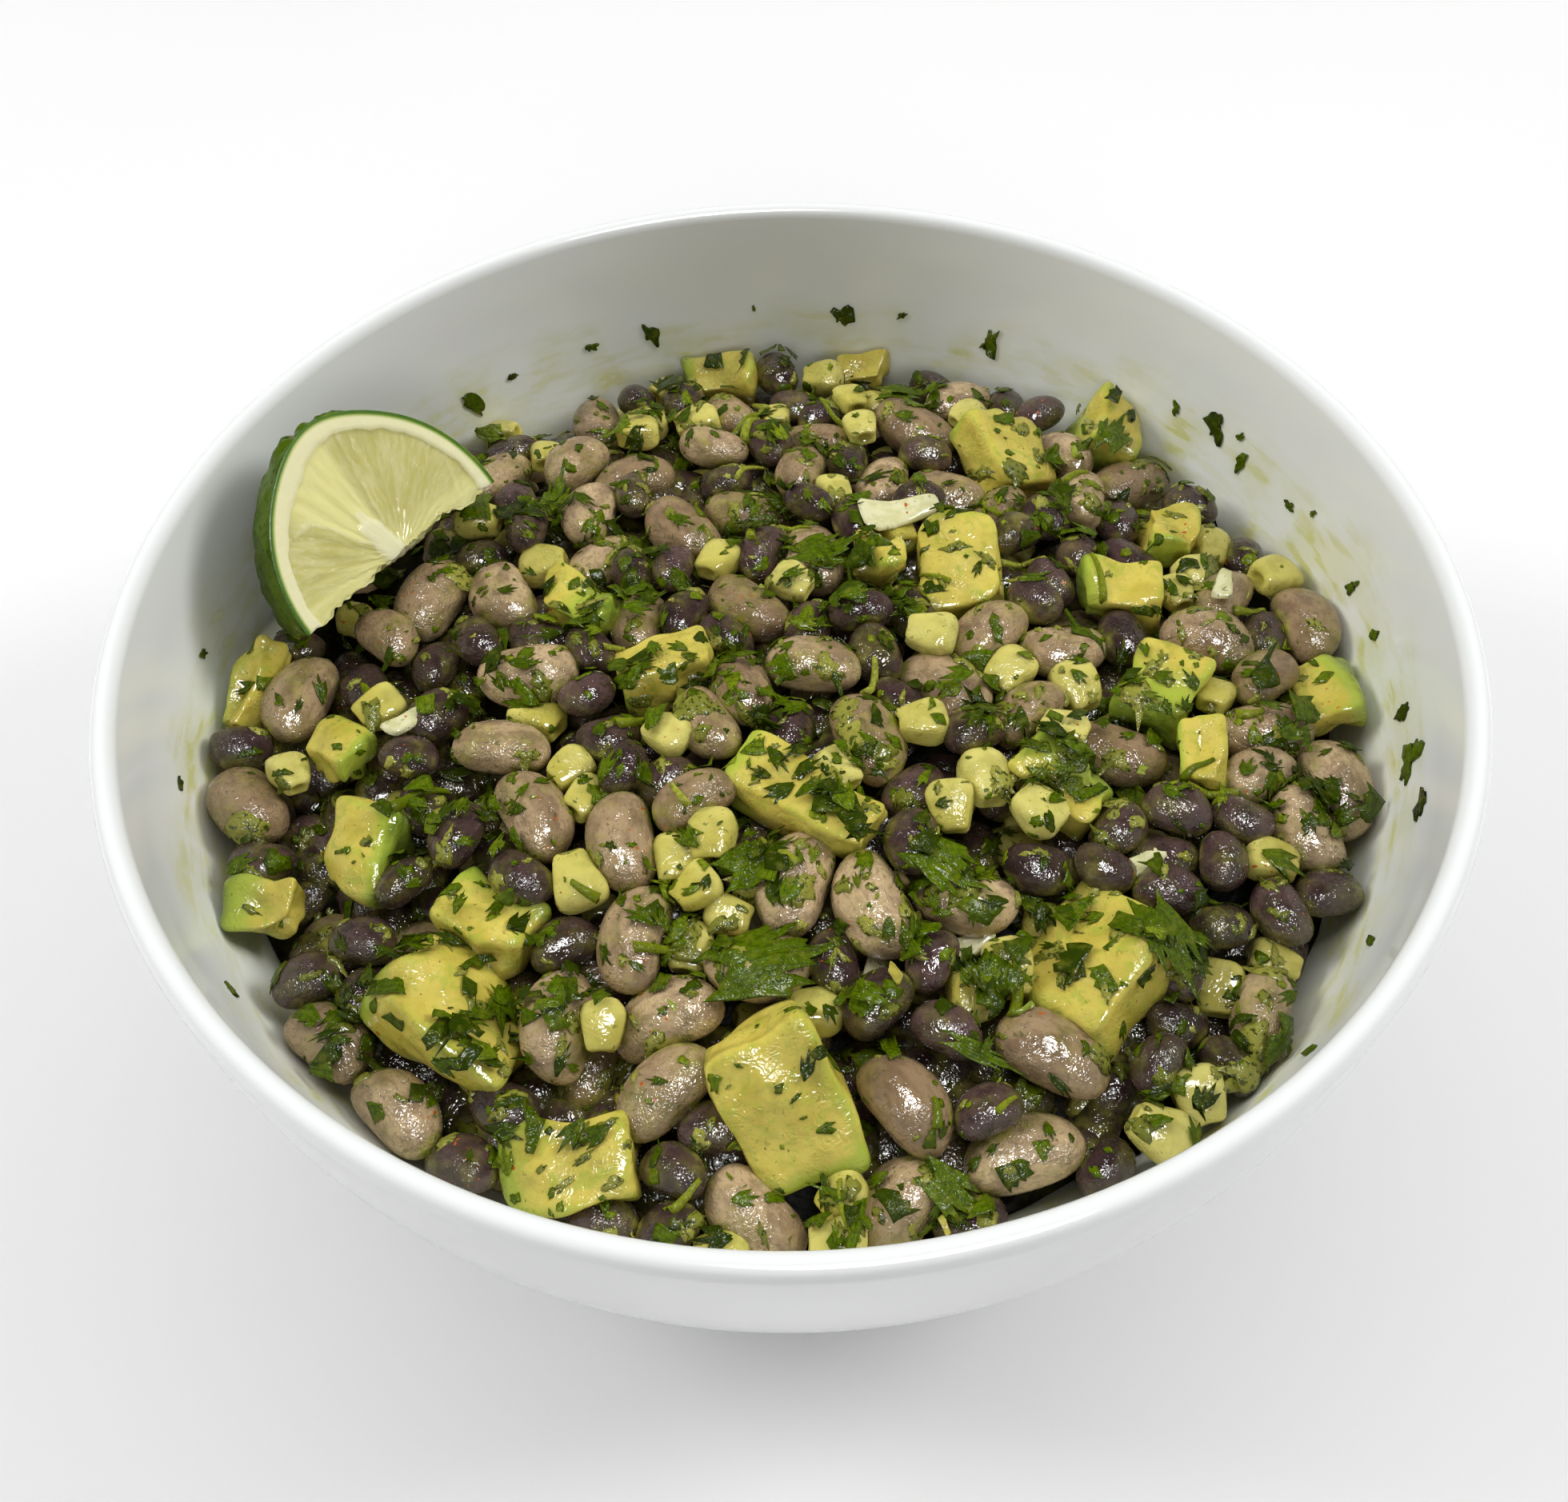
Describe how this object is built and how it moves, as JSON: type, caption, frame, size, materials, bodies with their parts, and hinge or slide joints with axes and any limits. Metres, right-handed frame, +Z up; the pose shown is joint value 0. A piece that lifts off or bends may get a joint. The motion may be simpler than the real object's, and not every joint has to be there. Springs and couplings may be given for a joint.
{
  "type": "avocado black bean salad in a bowl",
  "caption": "Round white serving bowl filled with a salad of beans, sweetcorn, avocado cubes and chopped coriander, with a lime wedge leaning on the wall.",
  "frame": {"origin": "centre of the bowl's base, on the plane that the foot ring stands on", "axes": "+Z up along the bowl's axis, -Y towards the picture's viewer, +X to the viewer's right"},
  "size_m": [0.24, 0.24, 0.087],
  "materials": {
    "bowl": "smooth white glaze",
    "salad": "wet, dressed food; stands in for beans, kernels, avocado and leaves",
    "lime": "waxy peel and moist pulp"
  },
  "bodies": {
    "root": {"bowl": "bowl", "salad": "salad", "lime_wedge": "lime"}
  },
  "joints": []
}
